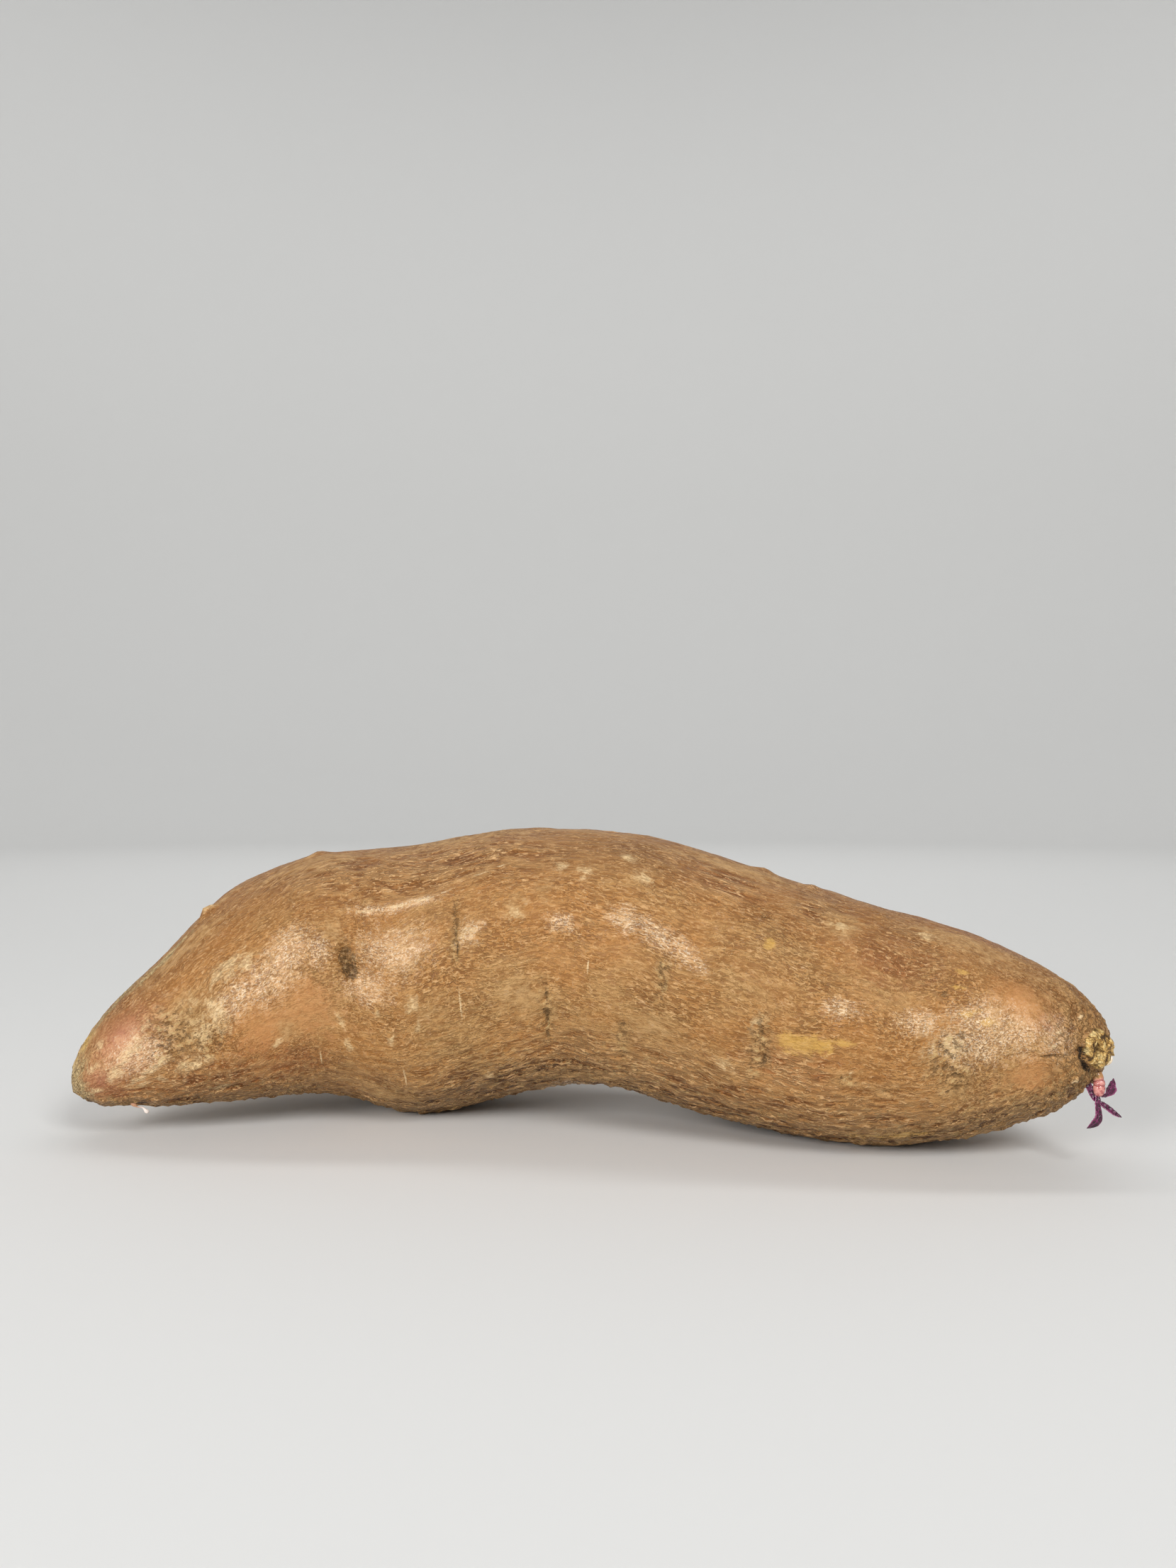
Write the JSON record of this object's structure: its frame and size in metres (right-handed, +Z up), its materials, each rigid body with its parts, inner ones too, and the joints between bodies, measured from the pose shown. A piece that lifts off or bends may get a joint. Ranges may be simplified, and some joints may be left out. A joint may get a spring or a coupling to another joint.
{
  "type": "sweet potato",
  "caption": "Long tapered sweet potato lying on its side, with a corky stem stump and a small purple sprout at its stem end.",
  "frame": {"origin": "middle of the bounding box in plan, on the surface the root lies on", "axes": "+X along the root from its tapered tip to its stem end, +Y away from the side that shows the stem stump, +Z up"},
  "size_m": [0.2144, 0.0838, 0.065],
  "materials": {
    "skin": "satin corky skin, tan ridges over orange brown",
    "pink_bud": "satin",
    "purple_leaf": "satin",
    "pale_bud": "satin",
    "rootlet": "matte"
  },
  "bodies": {
    "root": {"tuber": "skin", "sprout_bud": "pink_bud", "sprout_leaf_long": "purple_leaf", "sprout_leaf_side": "purple_leaf", "sprout_leaf_folded": "purple_leaf", "sprout_leaf_back": "purple_leaf", "second_bud": "pale_bud", "rootlet": "rootlet"}
  },
  "joints": []
}
